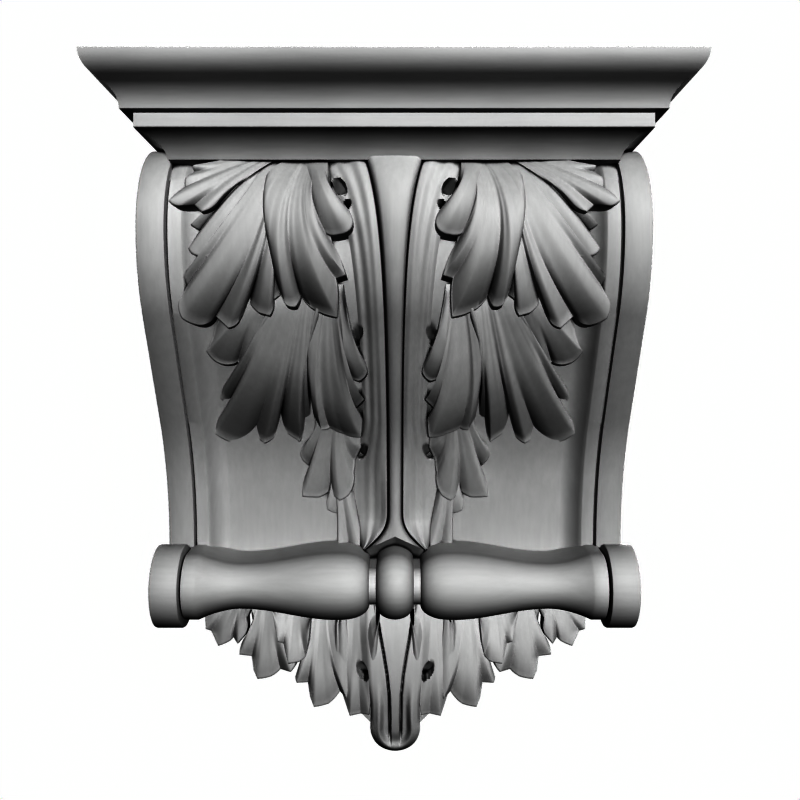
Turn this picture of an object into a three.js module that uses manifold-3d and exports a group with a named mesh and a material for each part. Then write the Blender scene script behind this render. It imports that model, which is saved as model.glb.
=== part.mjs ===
// A carved wooden corbel bracket: an S-shaped console with raised side rails and
// a sunk panel, a spray of acanthus down the middle, a turned roller lying across
// its foot, a smaller acanthus pendant below that, and a mitred crown moulding on top.
// Millimetres, +Z up. The wall is the plane y = 0, the front faces -Y, and x = 0 is
// the centre line. "out" is the distance from the wall, so y = -out.
import * as THREE from 'three';
import { mergeVertices } from 'three/addons/utils/BufferGeometryUtils.js';
import Module from 'manifold-3d';

const wasm = await Module();
wasm.setup();

// Driving sizes of the console.
const BODY_WIDTH = 240;
const RAIL_WIDTH = 13.3;
const RAIL_STEP = 3.5;
const STRIP_WIDTH = 7.2;
const COVE_WIDTH = 10.5;
const PANEL_SINK = 11;
const BODY_TOP = 125;
const BODY_BOTTOM = -108;

// The side profile: three arcs and a slope, from under the crown to the roller.
const BELLY_OUT = 136.2;
const SHOULDER_RADIUS = 44;
const BELLY_RADIUS = 75;
const SLOPE_ANGLE = THREE.MathUtils.degToRad(33);
const HOLLOW_RADIUS = 124;
const FOOT_OUT = 70.9;

// The crown moulding, measured from its lowest edge outwards and upwards. That edge
// stands a little behind the belly and in line with the inner faces of the rails.
const CROWN_SET_BACK = 8.4;
const CAVETTO_RADIUS = 16.5;
const CAVETTO_START = THREE.MathUtils.degToRad(15);
const CAVETTO_END = THREE.MathUtils.degToRad(75);
const BAND_STANDS = 1.3;
const BAND_HEIGHT = 7;
const CYMA_FOOT = 5;
const CYMA_HOLLOW_RADIUS = 13;
const CYMA_STRAIGHT = 3.7;
const CYMA_ROUND_RADIUS = 11.4;
const CYMA_TURN = THREE.MathUtils.degToRad(57);
const CYMA_LIP = 0.5;

// The turned roller. Its axis stands in front of the rails' foot and above their end.
const ROLLER_STANDS = 10.7;
const ROLLER_RISE = 11.4;
const CAP_RADIUS = 21.2;
const CAP_PROUD = 3;
const CAP_EDGE = 0.8;
const CAP_INSET = 11.4;
const RING_RADIUS = 17.1;
const WAIST_RADIUS = 11.6;
const BULB_RADIUS = 17.3;
const NECK_RADIUS = 9.5;
const BEAD_RADIUS = 17.1;
const BEAD_HALF = 9.7;
const NECK_END = 13.3;
const BULB_X = 30;
const WAIST_LENGTH = 21.4;
const RING_LENGTH = 7.2;
const SADDLE_RISE = 3;

// Fits: what touches keeps this much air, and what is fused sinks this deep.
const GAP = 0.3;
const SINK = 5;

// Carving: depths of the flutes at the root and the rim of a leaf.
const FLUTE_ROOT = 1.0;
const FLUTE_RIM = 2.8;
const UNDERCUT = 5;
const PENDANT_THICK = 11;
const STEM_PROUD = 1.7;

// How finely the solids are cut.
const LEAF_ROWS = 3;
const RIM_STEPS = 2;
const SLIGHT_BOW = 0.11;
const ROLLER_SIDES = 16;

// The field the carving's tables below were measured in. They stretch with the console.
const FIELD_HALF = 106.7;
const FIELD_TOP = 125;
const FIELD_BOTTOM = -108;

const INNER_X = BODY_WIDTH / 2 - RAIL_WIDTH;
const STRIP_X = INNER_X - STRIP_WIDTH;
const PANEL_X = STRIP_X - COVE_WIDTH;
const CAVETTO_RISE = CAVETTO_RADIUS * (Math.sin(CAVETTO_END) - Math.sin(CAVETTO_START));
const BLOCK_TOP = BODY_TOP - CAVETTO_RISE - GAP;
const BELLY_Z = BODY_TOP - SHOULDER_RADIUS;
const CROWN_FOOT_OUT = BELLY_OUT - CROWN_SET_BACK;
const ROLLER_OUT = FOOT_OUT + ROLLER_STANDS;
const ROLLER_Z = BODY_BOTTOM + ROLLER_RISE;
const CAP_X = BODY_WIDTH / 2 - CAP_INSET;
const RING_X = CAP_X - RING_LENGTH;
const WAIST_X = RING_X - WAIST_LENGTH;

// Distance of the rail's front from the wall at height z.
function railOut(z) {
  const slopeTop = BELLY_Z - BELLY_RADIUS * Math.sin(SLOPE_ANGLE);
  const slopeTopOut = BELLY_OUT - BELLY_RADIUS * (1 - Math.cos(SLOPE_ANGLE));
  const slopeFootOut = FOOT_OUT + HOLLOW_RADIUS * (1 - Math.cos(SLOPE_ANGLE));
  const slopeFoot = slopeTop - (slopeTopOut - slopeFootOut) / Math.tan(SLOPE_ANGLE);
  const hollowFoot = slopeFoot - HOLLOW_RADIUS * Math.sin(SLOPE_ANGLE);
  if (z >= BELLY_Z) {
    const rise = Math.min(z - BELLY_Z, SHOULDER_RADIUS);
    return BELLY_OUT - SHOULDER_RADIUS + Math.sqrt(SHOULDER_RADIUS ** 2 - rise ** 2);
  }
  if (z >= slopeTop) return BELLY_OUT - BELLY_RADIUS + Math.sqrt(BELLY_RADIUS ** 2 - (BELLY_Z - z) ** 2);
  if (z >= slopeFoot) return slopeTopOut - (slopeTop - z) * Math.tan(SLOPE_ANGLE);
  if (z >= hollowFoot) return FOOT_OUT + HOLLOW_RADIUS - Math.sqrt(HOLLOW_RADIUS ** 2 - (z - hollowFoot) ** 2);
  return FOOT_OUT;
}

const panelOut = (z) => railOut(z) - PANEL_SINK;

// The pendant below the roller rounds back from the foot of the panel to the drop.
const PENDANT_OVERLAP = 8;
const PENDANT_DROP = 96;
const PENDANT_TOP_BEHIND = 6.9;
const PENDANT_FOOT_OUT = 26;
const PENDANT_SIDE_FALL = 20;
const PENDANT_TOP = BODY_BOTTOM + PENDANT_OVERLAP;
const PENDANT_FOOT = BODY_BOTTOM - PENDANT_DROP;
const PENDANT_TOP_OUT = FOOT_OUT - PENDANT_TOP_BEHIND;
function pendantOut(x, z) {
  const down = THREE.MathUtils.clamp((PENDANT_TOP - z) / (PENDANT_TOP - PENDANT_FOOT), 0, 1);
  const middle = PENDANT_FOOT_OUT + (PENDANT_TOP_OUT - PENDANT_FOOT_OUT) * Math.sqrt(1 - down ** 2);
  return middle - PENDANT_SIDE_FALL * (x / INNER_X) ** 2;
}

// Where a point of the carving's tables falls on the console. The pendant only moves.
function inField([x, z, ...rest]) {
  const stretch = z > FIELD_BOTTOM ? (BODY_TOP - BODY_BOTTOM) / (FIELD_TOP - FIELD_BOTTOM) : 1;
  return [x * INNER_X / FIELD_HALF, BODY_BOTTOM + (z - FIELD_BOTTOM) * stretch, ...rest];
}

// Turns points given as [x, out, z] and triangles into a solid, facing outwards.
function solid(points, triangles) {
  let volume = 0;
  for (const [a, b, c] of triangles) {
    const [p, q, r] = [points[a], points[b], points[c]].map(([x, out, z]) => new THREE.Vector3(x, -out, z));
    volume += p.dot(q.cross(r));
  }
  const faces = volume > 0 ? triangles : triangles.map(([a, b, c]) => [a, c, b]);
  return new wasm.Manifold(new wasm.Mesh({
    numProp: 3,
    vertProperties: new Float32Array(points.flatMap(([x, out, z]) => [x, -out, z])),
    triVerts: new Uint32Array(faces.flat()),
  }));
}

// A closed solid between a front sheet of points and a back sheet with the same columns,
// which has as many rows or only its first and last.
function betweenSheets(front, back) {
  const columns = front[0].length;
  const points = [...front.flat(), ...back.flat()];
  const at = (r, c) => r * columns + c;
  const behind = (r, c) => front.length * columns + at(r, c);
  const triangles = [];
  const quad = (a, b, c, d) => triangles.push([a, b, c], [a, c, d]);
  for (let c = 0; c + 1 < columns; c++) {
    for (let r = 0; r + 1 < front.length; r++) quad(at(r, c), at(r + 1, c), at(r + 1, c + 1), at(r, c + 1));
    for (let r = 0; r + 1 < back.length; r++) {
      quad(behind(r, c), behind(r, c + 1), behind(r + 1, c + 1), behind(r + 1, c));
    }
    quad(at(0, c), at(0, c + 1), behind(0, c + 1), behind(0, c));
    const [frontEnd, backEnd] = [front.length - 1, back.length - 1];
    quad(at(frontEnd, c), behind(backEnd, c), behind(backEnd, c + 1), at(frontEnd, c + 1));
  }
  const edge = (c, left) => {
    const add = (a, b, d) => triangles.push(left ? [a, b, d] : [a, d, b]);
    for (let r = 0; r + 1 < front.length; r++) {
      const near = behind(back.length === front.length ? r : 0, c);
      add(at(r, c), near, at(r + 1, c));
      if (back.length === front.length) add(at(r + 1, c), near, behind(r + 1, c));
    }
    if (back.length !== front.length) add(at(front.length - 1, c), behind(0, c), behind(1, c));
  };
  edge(0, true);
  edge(columns - 1, false);
  return solid(points, triangles);
}

// A closed solid through rings of points, all of the same count and turning the same way.
// Its two ends are filled in the plane that flatten picks.
function throughRings(rings, flatten = ([x, out]) => new THREE.Vector2(x, out)) {
  const flat = rings[0].map(flatten);
  const ordered = THREE.ShapeUtils.isClockWise(flat) ? rings.map((ring) => [...ring].reverse()) : rings;
  const count = flat.length;
  const triangles = [];
  for (let r = 0; r + 1 < ordered.length; r++) {
    for (let i = 0; i < count; i++) {
      const j = (i + 1) % count;
      const [a, b, c, d] = [r * count + i, r * count + j, (r + 1) * count + j, (r + 1) * count + i];
      triangles.push([a, b, c], [a, c, d]);
    }
  }
  const cap = (ring) => THREE.ShapeUtils.triangulateShape(ring.map(flatten), []);
  const last = (ordered.length - 1) * count;
  for (const [a, b, c] of cap(ordered[0])) triangles.push([a, c, b]);
  for (const [a, b, c] of cap(ordered.at(-1))) triangles.push([last + a, last + b, last + c]);
  return solid(ordered.flat(), triangles);
}

// The same solid on the other side of the centre line.
function mirrored(half) {
  const { vertProperties, triVerts, numProp } = half.getMesh();
  const points = [];
  for (let i = 0; i < vertProperties.length; i += numProp) {
    points.push([-vertProperties[i], -vertProperties[i + 1], vertProperties[i + 2]]);
  }
  const triangles = [];
  for (let i = 0; i < triVerts.length; i += 3) triangles.push([...triVerts.subarray(i, i + 3)]);
  return solid(points, triangles);
}

const union = (solids) => solids.reduce((all, one) => all.add(one));
const steps = (from, to, count) => Array.from({ length: count + 1 }, (_, i) => from + (to - from) * i / count);

// Heights at which the side profile is cut, closer together round the shoulder.
function profileHeights(bottom, top) {
  const below = steps(bottom, BELLY_Z, 11);
  const reach = Math.asin(Math.min(1, (top - BELLY_Z) / SHOULDER_RADIUS));
  const above = steps(0, reach, 5).slice(1).map((angle) => BELLY_Z + SHOULDER_RADIUS * Math.sin(angle));
  return [...below, ...above];
}

function rail() {
  return throughRings(profileHeights(BODY_BOTTOM, BODY_TOP - GAP).map((z) => [
    [INNER_X, 0, z],
    [INNER_X, railOut(z), z],
    [BODY_WIDTH / 2, railOut(z), z],
    [BODY_WIDTH / 2, 0, z],
  ]));
}

// The block between the rails: strips beside the rails, coves, and the sunk panel.
function panelBlock() {
  const coveSteps = 3;
  const halfSection = (z) => {
    const strip = railOut(z) - RAIL_STEP;
    const cove = steps(0, Math.PI / 2, coveSteps).map((angle) => [
      STRIP_X - COVE_WIDTH * Math.sin(angle),
      panelOut(z) + (PANEL_SINK - RAIL_STEP) * (1 - Math.sin(angle)) ** 1.5,
    ]);
    return [[INNER_X + 1, 0], [INNER_X + 1, strip], [STRIP_X, strip], ...cove.slice(1)];
  };
  return throughRings(profileHeights(BODY_BOTTOM, BLOCK_TOP).map((z) => {
    const half = halfSection(z);
    const other = half.map(([x, out]) => [-x, out]).reverse();
    return [...half, ...other].map(([x, out]) => [x, out, z]);
  }));
}

// The crown's profile as [stands out beyond its foot, height], from the foot up.
function crownProfile() {
  const arc = (radius, from, to, count) => steps(from, to, count).map((a) => {
    return [Math.cos(a) * radius, Math.sin(a) * radius];
  });
  const points = [];
  const cavetto = arc(CAVETTO_RADIUS, CAVETTO_START, CAVETTO_END, 5);
  const [footC, footS] = cavetto[0];
  for (const [c, s] of cavetto) points.push([footC - c, BODY_TOP - CAVETTO_RISE + s - footS]);
  const bandStands = points.at(-1)[0] + BAND_STANDS;
  points.push([bandStands, BODY_TOP], [bandStands, BODY_TOP + BAND_HEIGHT]);
  const cymaFoot = bandStands + CYMA_FOOT;
  const cymaZ = BODY_TOP + BAND_HEIGHT;
  for (const [c, s] of arc(CYMA_HOLLOW_RADIUS, 0, CYMA_TURN, 5)) {
    points.push([cymaFoot + CYMA_HOLLOW_RADIUS - c, cymaZ + s]);
  }
  const [hollowX, hollowZ] = points.at(-1);
  const turnX = hollowX + CYMA_STRAIGHT * Math.sin(CYMA_TURN);
  const turnZ = hollowZ + CYMA_STRAIGHT * Math.cos(CYMA_TURN);
  points.push([turnX, turnZ]);
  const [endC, endS] = [Math.cos(CYMA_TURN) * CYMA_ROUND_RADIUS, Math.sin(CYMA_TURN) * CYMA_ROUND_RADIUS];
  for (const [c, s] of arc(CYMA_ROUND_RADIUS, CYMA_TURN, 0, 5).slice(1)) {
    points.push([turnX + c - endC, turnZ + endS - s]);
  }
  const [topX, topZ] = points.at(-1);
  points.push([topX, topZ + CYMA_LIP]);
  return points;
}

const CROWN_PROFILE = crownProfile();
const CROWN_TOP = CROWN_PROFILE.at(-1)[1];

function crownBlock(spare = 0) {
  const rings = CROWN_PROFILE.map(([stands, z]) => {
    const half = INNER_X + stands + spare;
    const out = CROWN_FOOT_OUT + stands + spare;
    return [[-half, -spare], [half, -spare], [half, out], [-half, out]].map((p) => [...p, z - spare]);
  });
  return throughRings(rings);
}

// Radius of the roller between its caps, at distance x from the middle.
function rollerRadius(x) {
  const d = Math.abs(x);
  const ease = (u) => (1 - Math.cos(Math.PI * THREE.MathUtils.clamp(u, 0, 1))) / 2;
  if (d <= BEAD_HALF) {
    return NECK_RADIUS + (BEAD_RADIUS - NECK_RADIUS) * Math.sqrt(1 - (d / BEAD_HALF) ** 2);
  }
  if (d <= NECK_END) return NECK_RADIUS;
  if (d <= BULB_X) {
    const u = (BULB_X - d) / (BULB_X - NECK_END);
    return NECK_RADIUS + (BULB_RADIUS - NECK_RADIUS) * Math.sqrt(Math.max(0, 1 - u ** 2.4));
  }
  if (d <= WAIST_X) {
    return BULB_RADIUS + (WAIST_RADIUS - BULB_RADIUS) * ease((d - BULB_X) / (WAIST_X - BULB_X));
  }
  if (d <= RING_X) {
    return WAIST_RADIUS + (RING_RADIUS - WAIST_RADIUS) * ((d - WAIST_X) / (RING_X - WAIST_X)) ** 1.8;
  }
  return RING_RADIUS;
}

// Where the roller is cut across, from its middle to its ring.
function rollerStations() {
  return [
    ...steps(0, Math.PI / 2, 3).slice(1).map((angle) => BEAD_HALF * Math.sin(angle)),
    ...steps(0, Math.PI / 2, 4).map((angle) => BULB_X - (BULB_X - NECK_END) * Math.cos(angle)),
    ...steps(BULB_X, WAIST_X, 4).slice(1),
    ...steps(WAIST_X, RING_X, 3).slice(1),
  ];
}

// The turned roller as a lathe about its own axis, laid along x.
function roller(spare = 0) {
  const capOuter = BODY_WIDTH / 2 + CAP_PROUD;
  const half = [
    ...[...rollerStations(), CAP_X - spare].map((x) => [rollerRadius(x) + spare, x]),
    [CAP_RADIUS - CAP_EDGE + spare, CAP_X - spare],
    [CAP_RADIUS + spare, CAP_X + CAP_EDGE - spare],
    [CAP_RADIUS + spare, capOuter - CAP_EDGE + spare],
    [CAP_RADIUS - CAP_EDGE + spare, capOuter + spare],
    [0, capOuter + spare],
  ];
  const profile = [...half.map(([r, x]) => [r, -x]).reverse(), [rollerRadius(0) + spare, 0], ...half];
  const lathe = new THREE.LatheGeometry(profile.map(([r, x]) => new THREE.Vector2(r, x)), ROLLER_SIDES);
  lathe.rotateZ(-Math.PI / 2);
  lathe.translate(0, -ROLLER_OUT, ROLLER_Z);
  return solidOf(lathe).add(rollerBack(spare));
}

// A three.js geometry as a solid, with its shared corners merged.
function solidOf(geometry) {
  geometry.deleteAttribute('normal');
  geometry.deleteAttribute('uv');
  const merged = mergeVertices(geometry, 0.001);
  const place = merged.getAttribute('position');
  const points = steps(0, place.count - 1, place.count - 1).map((i) => {
    return [place.getX(i), -place.getY(i), place.getZ(i)];
  });
  const triangles = [];
  for (let i = 0; i < merged.index.count; i += 3) {
    const [a, b, c] = [0, 1, 2].map((k) => merged.index.getX(i + k));
    if (a !== b && b !== c && c !== a) triangles.push([a, b, c]);
  }
  return solid(points, triangles);
}

// Behind its axis the roller is squared off to bed on the panel: its top rises a little
// to the back, so the turned outline shows again where it meets the panel.
function rollerBack(spare) {
  const edge = CAP_X - GAP;
  const half = rollerStations().filter((x) => x < edge);
  const stations = [-edge, ...half.map((x) => -x).reverse(), 0, ...half, edge];
  const bed = FOOT_OUT - PANEL_SINK + GAP - spare;
  const sheet = (side) => stations.map((x) => {
    const reach = rollerRadius(x) + spare;
    const far = side > 0 ? ROLLER_Z + reach + SADDLE_RISE : BODY_BOTTOM - spare;
    return [[x, bed, far], [x, ROLLER_OUT, ROLLER_Z + side * reach]];
  });
  return betweenSheets(sheet(1), sheet(-1));
}

// A leaf is a fan of ribs that leave its root side by side and end on its rim.
// The rim's corners are [x, z, crest, bow]: crest 1 is a ridge that ends in a tip and
// -1 a furrow that ends in a notch, and bow is how far the rim bulges to the next corner,
// as a share of that stretch. lift is its height above the ground at root, middle and rim.
function leaf({ lift, ground = (x, z) => panelOut(z), thick = 0, undercut = UNDERCUT, ...shape }) {
  const [root, via, rim] = [shape.root, shape.via, shape.rim].map((points) => points.map(inField));
  const samples = [];
  rim.slice(0, -1).forEach(([x, z, crest, bow = 0], i) => {
    const [nextX, nextZ, nextCrest] = rim[i + 1];
    steps(0, 1, bow > SLIGHT_BOW ? RIM_STEPS : 1).slice(i ? 1 : 0).forEach((u) => {
      const bulge = 4 * bow * u * (1 - u);
      const fall = crest > nextCrest ? u : 1 - u;
      const high = Math.max(crest, nextCrest);
      samples.push({
        x: x + (nextX - x) * u + bulge * (nextZ - z),
        z: z + (nextZ - z) * u - bulge * (nextX - x),
        crest: high - Math.abs(crest - nextCrest) * fall ** 1.5,
      });
    });
  });
  const along = [0];
  samples.slice(1).forEach((s, i) => along.push(along[i] + Math.hypot(s.x - samples[i].x, s.z - samples[i].z)));
  const mix = ([[ax, az], [bx, bz]], u) => [ax + (bx - ax) * u, az + (bz - az) * u];
  const ribAt = (s, share, t) => {
    const [rx, rz] = mix(root, share);
    const [vx, vz] = mix(via, share);
    const [a, b, c] = [(1 - t) ** 2, 2 * t * (1 - t), t ** 2];
    return [a * rx + b * vx + c * s.x, a * rz + b * vz + c * s.z];
  };
  const liftAt = (t) => lift[0] * (1 - t) * (1 - 2 * t) + lift[1] * 4 * t * (1 - t) + lift[2] * t * (2 * t - 1);
  const fluteAt = (t) => FLUTE_ROOT + (FLUTE_RIM - FLUTE_ROOT) * t;
  const front = [];
  const back = [];
  for (const t of steps(0, 1, LEAF_ROWS)) {
    front.push(samples.map((s, i) => {
      const [x, z] = ribAt(s, along[i] / along.at(-1), t);
      return [x, ground(x, z) + liftAt(t) + fluteAt(t) * s.crest, z];
    }));
    if (t > 0 && t < 1) continue;
    back.push(samples.map((s, i) => {
      const share = along[i] / along.at(-1);
      const [rx, rz] = ribAt(s, share, 0);
      const length = Math.hypot(s.x - rx, s.z - rz);
      const [x, z] = ribAt(s, share, t * (1 - Math.min(0.3, undercut / length)));
      if (thick) return [x, ground(x, z) + liftAt(t) - thick * (1 - 0.45 * t), z];
      return [x, ground(x, z) - SINK, z];
    }));
  }
  return betweenSheets(front, back);
}

// The acanthus spray on the panel, left half: three tiers, each springing from under the last.
const SPRAY = [
  {
    root: [[-74, 113.5], [-66, 111]], via: [[-84, 112], [-76, 104]], lift: [15, 18, 15],
    rim: [
      [-80, 114, 0], [-95.6, 111, 1, 0.05], [-94, 107.5, -1], [-97.6, 104, 1, 0.05], [-96.5, 99, -1, 0.1],
      [-104.5, 92, 1, 0.1], [-100, 89.4, 0], [-92.5, 90, -1], [-89, 86.6, 1, 0.1], [-81, 92, 0],
      [-73, 100, -1],
    ],
  },
  {
    root: [[-70, 112], [-58, 108]], via: [[-80, 100], [-66, 98]], lift: [13, 15, 11],
    rim: [
      [-77, 96, 0], [-94, 80.8, 1, 0.08], [-89.5, 78.3, -1], [-94.9, 69.4, 1, 0.12], [-85, 66, 0.5, 0.15],
      [-79.5, 74, 0], [-72, 92, -0.6, 0.05], [-66, 102, 0],
    ],
  },
  {
    root: [[-66, 110], [-55, 106]], via: [[-76, 88], [-61, 84]], lift: [13, 17, 12],
    rim: [
      [-77, 84, 0], [-95.8, 60, 1, 0.04], [-96.5, 53.6, -1], [-101.6, 41.7, 0.5, 0.12], [-100, 37.5, 1],
      [-91, 35.6, 0.4, 0.12], [-84.9, 39.5, -1], [-79.5, 34.2, 1, 0.15], [-68.4, 46.4, -1, 0.1],
      [-59.2, 39.7, 1, 0.15], [-53.5, 48.7, -0.3], [-56.5, 62, 0], [-60, 76, 0],
    ],
  },
  {
    root: [[-58, 112], [-40, 112]], via: [[-58, 90], [-40, 90]], lift: [15, 19, 15],
    rim: [
      [-55, 101, -0.5], [-57.8, 86.8, -0.2, 0.05], [-54.8, 61.8, -0.2], [-51, 44.5, 1, 0.15],
      [-43.6, 48.7, -1, 0.1],
      [-36, 40.8, 0.6, 0.12], [-27.2, 39, 1], [-26.4, 53.9, 0, 0.05], [-27, 56.4, -1], [-22.5, 57.8, 1],
      [-28.6, 72.6, 0, 0.08], [-33, 80, -0.5],
    ],
  },
  {
    root: [[-46, 113], [-33, 113]], via: [[-42, 97], [-32, 99]], lift: [17, 21, 19],
    rim: [
      [-42, 96, 0], [-38, 84, 0], [-33, 78, 0.3, 0.1], [-25.6, 76.2, 0.5, 0.1], [-19.1, 79.1, 1, 0.15],
      [-20, 86, 0.3], [-24, 92, -0.5], [-28, 104, -0.3],
    ],
  },
  {
    root: [[-72, 48], [-60, 46]], via: [[-78, 38], [-62, 35]], lift: [4, 9, 11],
    rim: [
      [-82, 40, 0], [-87, 30, 0.2], [-91.5, 22.6, 1, 0.06], [-84, 17.3, 0.5, 0.15], [-76.7, 18.4, -1],
      [-74.5, 13.1, 0.7], [-65, 19.5, 0], [-58.6, 27, -1],
    ],
  },
  {
    root: [[-60, 40], [-46, 40]], via: [[-66, 20], [-52, 20]], lift: [4, 12, 11],
    rim: [
      [-64.5, 19, 0], [-74, 12.8, 0.6], [-87.2, 0.5, 1, 0.15], [-83.4, -2.2, -1], [-91, -13.3, 0.7, 0.08],
      [-92.3, -17, 1], [-84, -22, 0.4, 0.12], [-73, -17.9, -1], [-67.3, -22.4, 1, 0.1],
      [-58.9, -10.5, -1, 0.1],
      [-56, -16.5, 0.7], [-49.2, -21.5, 1, 0.1], [-44, -10.7, -0.6], [-43, 3, -1], [-45, 16, -0.5],
    ],
  },
  {
    root: [[-44, 46], [-26, 46]], via: [[-42, 24], [-26, 26]], lift: [5, 13, 12],
    rim: [
      [-38, 32, -0.8], [-45, 9, -0.5], [-41, 0, -0.6], [-40.2, -12.9, 0.3], [-36.5, -15.8, 1, 0.12],
      [-33.1, -14.2, -1], [-26.5, -17.3, 0.5, 0.1], [-17.6, -19.2, 1], [-16.8, -9, 0], [-19.6, -4, -1],
      [-15.3, 0, 1], [-22, 7, -0.2], [-24.3, 11.5, -1], [-17.9, 9.1, 0.8, 0.15], [-13.5, 13, 1, 0.12],
      [-19, 25.2, 0, 0.05], [-22, 33, -0.6],
    ],
  },
  {
    root: [[-40, 2], [-24, 2]], via: [[-42, -18], [-28, -16]], lift: [3, 11, 11],
    rim: [
      [-40, -10, 0], [-46.6, -22.3, 0.5, 0.1], [-49, -28.7, 1, 0.05], [-44.7, -34.4, -1],
      [-48.3, -46, 0.4, 0.06],
      [-48.5, -51, 1], [-40, -51, 0.4, 0.05], [-33.9, -47.7, -1], [-29.5, -53.1, 1, 0.1],
      [-23, -46, 0.2, 0.1],
      [-20.8, -33.3, -0.4], [-20, -28, -1], [-17, -22, 0.5], [-18, -10, 0],
    ],
  },
  {
    root: [[-34, -36], [-24, -36]], via: [[-34, -50], [-24, -50]], lift: [4, 11, 13],
    rim: [
      [-35, -48, 0], [-36.4, -56.5, 1, 0.1], [-30.4, -59.8, -1], [-30.9, -72.3, 0.5, 0.05], [-29.6, -79, 1],
      [-22, -80, 0.2], [-15.4, -80.5, 0.8], [-16.5, -62, 0], [-19, -46, 0],
    ],
  },
];

// The pendant below the roller, left half: leaves that hang clear of each other.
const PENDANT = [
  {
    root: [[-88, -103], [-74, -103]], via: [[-97, -113], [-82, -113]], lift: [0, 1, -1],
    rim: [
      [-106, -108, 0], [-107.3, -119, 0], [-106.8, -129, 1], [-103.6, -129.6, -0.6], [-99.5, -138.2, 1, 0.05],
      [-92.5, -134.7, 0.3], [-90.3, -132.4, -1], [-87.9, -136, 1], [-82.9, -130, 0], [-82.4, -121, -0.6],
      [-76, -112, 0],
    ],
  },
  {
    root: [[-78, -103], [-62, -103]], via: [[-80, -120], [-62, -124]], lift: [0, 1, -1],
    rim: [
      [-80.5, -113, 0], [-80.8, -127.5, -0.5], [-85.5, -135, 0.3, 0.05], [-87.8, -143, 1],
      [-80.5, -143.6, -0.6],
      [-77.5, -156.8, 1, 0.05], [-70, -155, 0.4, 0.05], [-64, -150, -1], [-58.2, -151.4, 1, 0.05],
      [-54.8, -145.7, 0.2],
      [-54, -130, 0], [-56, -114, 0],
    ],
  },
  {
    root: [[-62, -103], [-44, -103]], via: [[-64, -122], [-46, -124]], lift: [2, 5, 4],
    rim: [
      [-68, -112, 0], [-65.3, -124, 0], [-64.1, -131.5, 1], [-60.5, -132.5, -0.7], [-58.3, -143.8, 1],
      [-52, -142.3, 0.3, 0.05], [-48.5, -139, -1], [-46.8, -131, 0.3], [-45, -115, 0],
    ],
  },
  {
    root: [[-46, -103], [-30, -103]], via: [[-48, -130], [-34, -132]], lift: [1, 3, 1],
    rim: [
      [-48, -118, 0], [-51, -140, 0], [-55, -153, 0.5, 0.05], [-54.5, -156, 1], [-48, -155.3, -0.6],
      [-45, -170, 1, 0.03], [-37, -167.8, 0.3, 0.05], [-30.3, -159.8, -1], [-26.5, -164.5, 1], [-24, -148, 0],
      [-27, -115, 0],
    ],
  },
  {
    root: [[-31, -103], [-9, -103]], via: [[-31, -130], [-11, -132]], lift: [2, 4, 2],
    rim: [
      [-32, -115, 0], [-34, -140, 0], [-28, -160, -0.5], [-25, -174, 1], [-14.3, -173.2, 0.5], [-10, -150, 0],
      [-8, -115, 0],
    ],
  },
];
const DROP = {
  root: [[-4, -150], [4, -150]], via: [[-6, -168], [6, -168]], lift: [4, 9, 6],
  rim: [
    [-6, -156, 0], [-13.3, -173.6, 0], [-13.5, -184.9, 0.6, 0.04], [-8.6, -194.5, 0.3, 0.08],
    [0, -200, 1, 0.08],
    [8.6, -194.5, 0.3, 0.08], [13.5, -184.9, 0.6, 0.08], [13.3, -173.6, 0, 0.04], [6, -156, 0],
  ],
};

// The midrib and the flutes beside it, swelling as they rise to meet the crown.
const STEM_FOOT_RISE = 32;
const STEM_HEAD_DROP = 10;
const STEM_FOOT = BODY_BOTTOM + STEM_FOOT_RISE;
const STEM_TOP = BODY_TOP - STEM_HEAD_DROP;
const STEM_HALF = 3.2;
const STEM_FLARE = 9.5;
const STEM_TAPER = 32;
const SHEAF_HALF = 17;
const SHEAF_FLARE = 18;
const SHEAF_TAPER = 30;
const stemHalf = (z) => STEM_HALF + STEM_FLARE * Math.exp((z - BLOCK_TOP) / STEM_TAPER);
const sheafHalf = (z) => SHEAF_HALF + SHEAF_FLARE * Math.exp((z - BLOCK_TOP) / SHEAF_TAPER);
// Each step across the sheaf: share of the stem, share of the rest of the sheaf, height.
const SHEAF_SECTION = [
  [0, 0, 1], [0.6, 0, 0.92], [1, 0, 0.55], [1, 0.25, 0.78], [1, 0.48, 0.5], [1, 0.72, 0.68], [1, 1, 0.3],
];
function sheaf() {
  const top = CROWN_FOOT_OUT + STEM_PROUD - panelOut(STEM_TOP);
  const rows = steps(STEM_FOOT, STEM_TOP, 8).map((z) => {
    const high = 13 + (top - 13) * Math.exp((z - STEM_TOP) / STEM_TAPER);
    const half = SHEAF_SECTION.map(([own, rest, height]) => {
      const x = own * stemHalf(z) + rest * (sheafHalf(z) - stemHalf(z));
      return [x, panelOut(z) + high * height, z];
    });
    return [...half.slice(1).map(([x, out]) => [-x, out, z]).reverse(), ...half];
  });
  return betweenSheets(rows, rows.map((row) => row.map(([x, , z]) => [x, panelOut(z) - SINK, z])));
}

// The core that ties the pendant's leaves back to the wall.
function pendantCore() {
  const bottom = PENDANT_FOOT + 12;
  return throughRings(steps(bottom, BODY_BOTTOM, 5).map((z) => {
    const down = (BODY_BOTTOM - z) / (BODY_BOTTOM - bottom);
    const half = 4 + (STRIP_X - 10) * (1 - down ** 0.8);
    const front = steps(-half, half, 6).map((x) => [x, pendantOut(x, z) - PENDANT_THICK / 2, z]);
    return [[half, 0, z], [-half, 0, z], ...front];
  }));
}

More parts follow.
